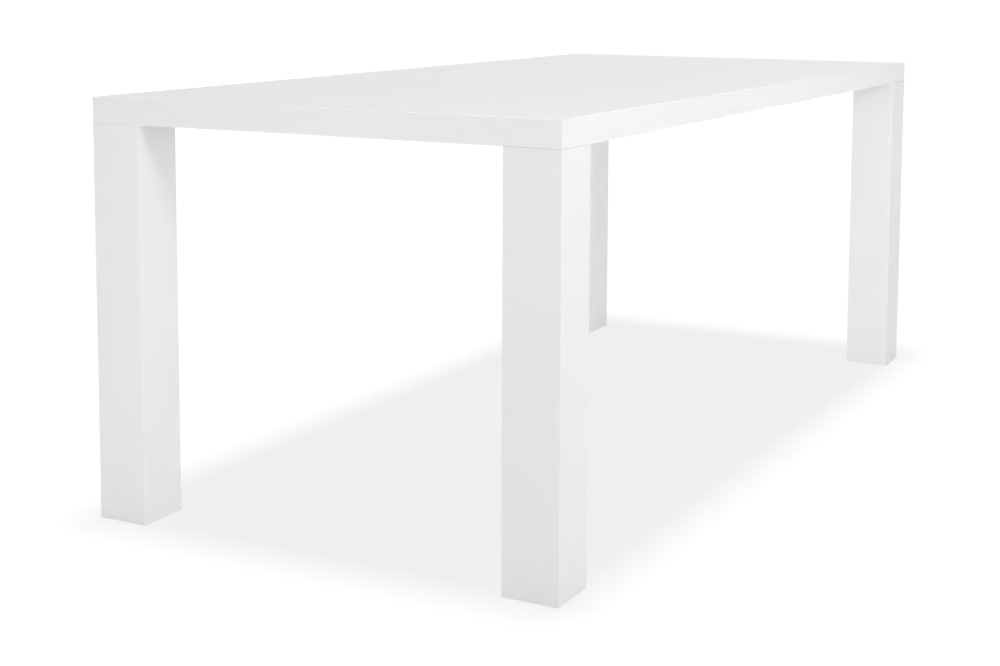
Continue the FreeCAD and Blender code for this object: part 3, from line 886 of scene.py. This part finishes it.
def floor_sheet(name, height, level, paint):
    """A square sheet that glows with a level and returns a share of the light it gets. The level
    is a number, or a function that makes a socket in the material's tree."""
    corners = FLOOR_REACH * np.array([[-1, -1, 0], [1, -1, 0], [1, 1, 0], [-1, 1, 0]])
    sheet = new_piece(name, corners + [0, 0, height], [[0, 1, 2, 3]])
    material = bpy.data.materials.new(name)
    material.use_nodes = True
    tree = material.node_tree
    tree.nodes.clear()
    strength = level(tree) if callable(level) else level
    glow = add(tree, "ShaderNodeEmission", {"Strength": strength}).outputs[0]
    coat = add(tree, "ShaderNodeBsdfDiffuse", {"Color": grey(paint)}).outputs[0]
    both = add(tree, "ShaderNodeAddShader", {0: glow, 1: coat}).outputs[0]
    output = tree.nodes.new("ShaderNodeOutputMaterial")
    tree.links.new(both, output.inputs["Surface"])
    material.cycles.emission_sampling = "NONE"
    sheet.data.materials.append(material)
    return sheet


def glow_near_table(tree):
    """The distance from the table is the larger of |x| and |y| less half the table's size."""
    spot = add(tree, "ShaderNodeSeparateXYZ",
               {0: tree.nodes.new("ShaderNodeTexCoord").outputs["Object"]}).outputs
    beyond = [work(tree, "SUBTRACT", work(tree, "ABSOLUTE", spot[axis]), half)
              for axis, half in (("X", high[0]), ("Y", high[1]))]
    return ramp(tree, work(tree, "MAXIMUM", *beyond), *GLOW_RISES, SHADOW_LEVEL, GLOW_AWAY)


shown_sheet = floor_sheet("studio_floor", 0.0, glow_near_table, THIN_PAINT)
shown_sheet.visible_diffuse = shown_sheet.visible_shadow = False
light_sheet = floor_sheet("studio_floor_panel", -SHEET_GAP, FLOOR_LIGHT, FLOOR_PAINT)
light_sheet.visible_camera = light_sheet.visible_glossy = light_sheet.visible_transmission = False
print("floor:", 2 * FLOOR_REACH, "m square, two sheets")

# %% [markdown]
# ## The world
#
# The world plays three parts. To the camera it is plain white. To reflections it is the studio's
# walls: the near one, behind the camera's right hand, is pale, and the far one lies in more shade,
# which the low view finds again in the top. Overhead it is brighter, and the gloss shows that as a
# thin line along each arris. To everything else it is a faint even fill from all round.

# %% World
WORLD_FILL = 0.09               # level of the fill
NEAR_WALL, FAR_WALL = 0.90, 0.71                # levels of the walls in reflections
WALLS_MEET = (-0.5, 1.0)        # one wall shades into the other between these directions' Y
CEILING_MORE = 0.35             # what the ceiling adds straight above
CEILING_RISES = (0.3, 0.9)      # it comes in between these directions' Z


def studio_world():
    world = bpy.data.worlds.new("studio")
    world.use_nodes = True
    tree = world.node_tree
    tree.nodes.clear()
    path = tree.nodes.new("ShaderNodeLightPath").outputs
    direction = tree.nodes.new("ShaderNodeTexCoord").outputs["Generated"]
    towards = add(tree, "ShaderNodeSeparateXYZ", {0: direction}).outputs
    walls = ramp(tree, towards["Y"], *WALLS_MEET, NEAR_WALL, FAR_WALL)
    ceiling = ramp(tree, towards["Z"], *CEILING_RISES, 0.0, CEILING_MORE)
    mirrored = work(tree, "ADD", walls, ceiling)
    unseen = add(tree, "ShaderNodeMix",
                 {0: path["Is Glossy Ray"], 2: WORLD_FILL, 3: mirrored}).outputs[0]
    seen = work(tree, "MAXIMUM", path["Is Camera Ray"], path["Is Transmission Ray"])
    level = add(tree, "ShaderNodeMix", {0: seen, 2: unseen, 3: 1.0}).outputs[0]
    sky = add(tree, "ShaderNodeBackground", {"Color": grey(1.0), "Strength": level}).outputs[0]
    output = tree.nodes.new("ShaderNodeOutputWorld")
    tree.links.new(sky, output.inputs["Surface"])
    return world


scene.world = studio_world()
scene.view_settings.view_transform = "Standard"
print("world fill:", WORLD_FILL)

# %% [markdown]
# ## Lamps
#
# A lamp is given by the level that it alone lends to a white surface that faces it: 1 is full
# white. For an area lamp at a distance d, that takes a power of level x pi^2 x d^2 watts, whatever
# the lamp's size. The size only sets how soft its shadows are.
#
# Light linking says which lamp lights which thing. All lamps but one light the table and the lower
# sheet. The one left over lights the upper sheet alone, and draws the shadow there. It hangs high,
# so the shadow is hardly larger than the table.

# %% Lamps
LAMPS = {
    # name: (level, place, aimed at, width, height)
    "overhead": (0.323, (-0.3, 0.0, 7.5), (-0.3, 0.0, 0.0), 1.8, 1.8),
    "side_near": (0.373, (-1.3, -1.6, 1.2), (-0.95, -0.45, 0.6), 0.9, 0.7),
    "side_middle": (0.125, (-0.5, -1.6, 1.2), (-0.5, -0.45, 0.6), 0.9, 0.7),
    "side_far": (0.315, (0.4, -1.6, 1.2), (0.4, -0.45, 0.6), 0.9, 0.7),
    "corner_high": (0.138, (-2.1, -1.6, 2.8), (-0.97, -0.45, 0.6), 0.9, 0.7),
    "end_high": (0.193, (-2.1, -0.7, 2.8), (-0.97, -0.45, 0.6), 0.9, 0.7),
    "end_low": (0.268, (-2.1, 0.2, 0.6), (-0.97, 0.2, 0.6), 0.9, 0.7),
    "end_back": (0.067, (-2.1, 0.9, 1.2), (-0.97, 0.45, 0.6), 0.9, 0.7),
    "far_end": (0.60, (4.0, 0.2, 2.2), (0.97, 0.0, 0.6), 2.4, 1.8),
    "far_side": (0.59, (0.0, 3.2, 2.2), (0.0, 0.45, 0.6), 2.4, 1.8),
}
SHADOW_LAMP = (4.0, (-0.43, -0.08, 8.25), (-0.43, -0.08, 0.0), 1.9, 1.4)


def bank(name, level, place, target, width, height):
    """A lamp that is aimed at a target and shows in neither the picture nor a reflection."""
    lamp = bpy.data.lights.new(name, "AREA")
    lamp.shape = "RECTANGLE"
    lamp.size, lamp.size_y = width, height
    ray = Vector(target) - Vector(place)
    lamp.energy = level * math.pi ** 2 * ray.length_squared
    holder = bpy.data.objects.new(name, lamp)
    holder.location = place
    holder.rotation_euler = ray.to_track_quat("-Z", "Y").to_euler()
    holder.visible_camera = False
    holder.visible_glossy = False
    scene.collection.objects.link(holder)
    return holder


def link_light(lamp, sheet, state):
    """INCLUDE: the lamp lights only this sheet. EXCLUDE: it lights all but this sheet. The table
    stands in its way in both cases."""
    listed = bpy.data.collections.new(f"{lamp.name}_light")
    listed.objects.link(sheet)
    listed.collection_objects[0].light_linking.link_state = state
    lamp.light_linking.receiver_collection = listed


lamps = [bank(name, *row) for name, row in LAMPS.items()]
for lamp in lamps:
    link_light(lamp, shown_sheet, "EXCLUDE")
shadow_lamp = bank("shadow_lamp", *SHADOW_LAMP)
link_light(shadow_lamp, shown_sheet, "INCLUDE")
for lamp in (*lamps, shadow_lamp):
    print(f"{lamp.name}: {lamp.data.energy:.1f}")
